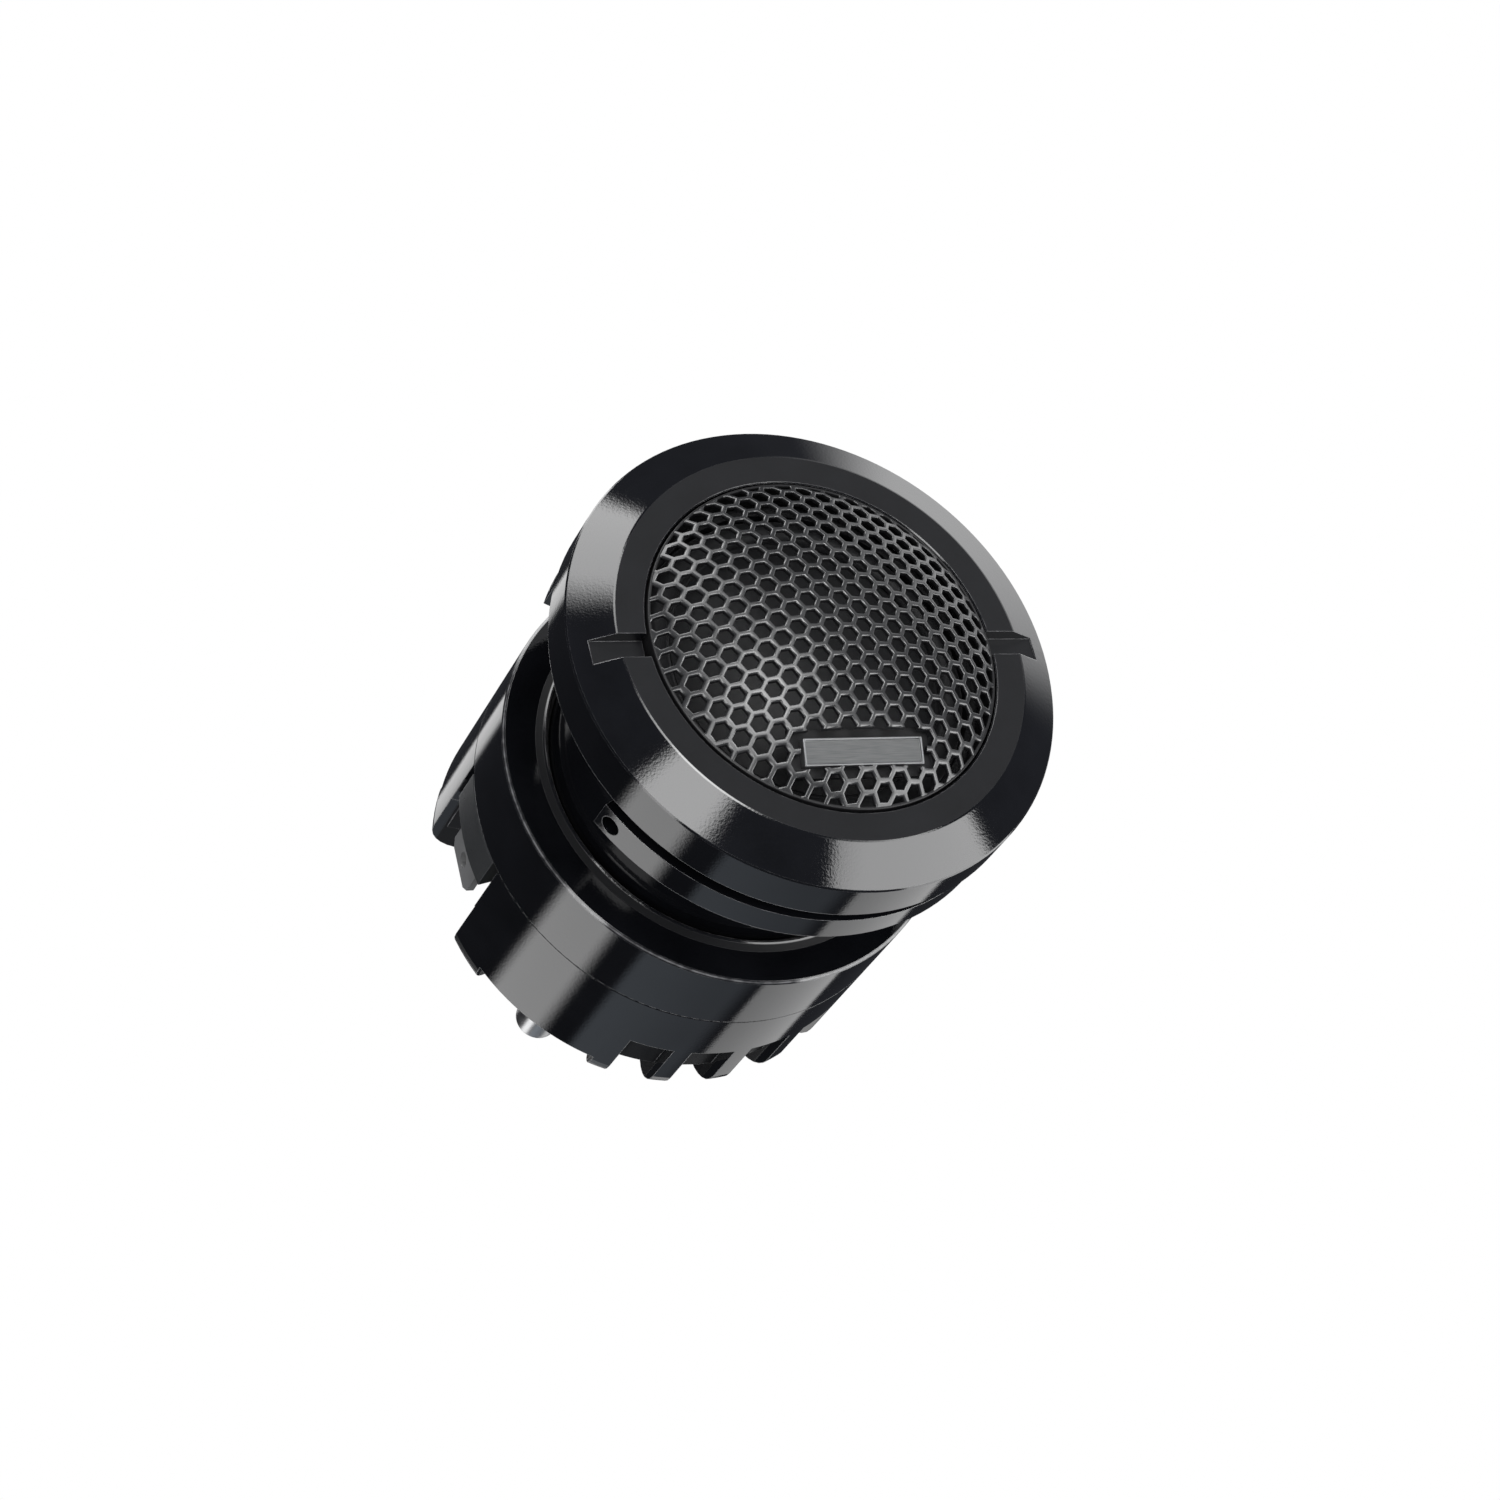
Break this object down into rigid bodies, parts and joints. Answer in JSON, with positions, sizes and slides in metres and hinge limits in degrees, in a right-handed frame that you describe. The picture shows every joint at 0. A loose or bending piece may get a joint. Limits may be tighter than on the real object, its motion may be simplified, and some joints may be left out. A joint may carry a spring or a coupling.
{
  "type": "car tweeter",
  "caption": "Flush-mount car tweeter with a domed hexagonal grille, chamfered bezel, bayonet neck, finned rear heat sink and a long central mounting stud.",
  "frame": {"origin": "on the acoustic axis, in the plane of the bezel's rear seating face", "axes": "+Z out of the grille along the acoustic axis; +Y away from the badge; the terminals are on -X"},
  "size_m": [0.052, 0.052, 0.0927],
  "materials": {
    "bezel_black": "gloss",
    "body_black": "gloss",
    "sink_black": "black anodised, satin gloss",
    "grille_black": "satin",
    "badge_silver": "satin",
    "black_plastic": "matt",
    "carrier_grey": "satin",
    "gasket": "matt",
    "foam": "open cell",
    "felt": "felt",
    "silk": "coated silk",
    "former": "bright",
    "copper": "enamelled copper",
    "copper_cap": "bright copper",
    "steel": "zinc plated",
    "yoke_steel": "black zinc",
    "magnet": "nickel plated",
    "tab_metal": "tin plated",
    "wire_red": "insulation",
    "wire_black": "insulation"
  },
  "bodies": {
    "frame": {"bezel": "bezel_black", "grille": "grille_black", "badge": "badge_silver", "badge_clip": "black_plastic", "grille_gasket": "gasket", "chassis": "body_black", "diaphragm_ring": "black_plastic", "neck_seal": "gasket", "body_ring": "body_black", "heat_sink": "sink_black", "chamber_gasket": "gasket", "terminal_carrier": "carrier_grey", "terminal_positive": "tab_metal", "terminal_negative": "tab_metal", "lead_wire_positive": "wire_red", "lead_wire_negative": "wire_black", "yoke": "yoke_steel", "magnet": "magnet", "pole_plate": "steel", "shorting_cap": "copper_cap", "felt_pad": "felt", "surround": "silk", "tinsel_leads": "copper", "damping_foam": "foam", "mounting_stud": "steel", "lock_washer": "steel", "stud_nut": "steel"},
    "diaphragm": {"dome": "silk", "coil_former": "former", "voice_coil": "copper"}
  },
  "joints": [
    {"name": "diaphragm_stroke", "type": "slide", "parent": "frame", "child": "diaphragm", "axis": [0, 0, 1], "range_m": [-0.0006, 0.0006], "stiffness_N_per_m": 1200, "deforming": ["surround", "tinsel_leads"]}
  ]
}
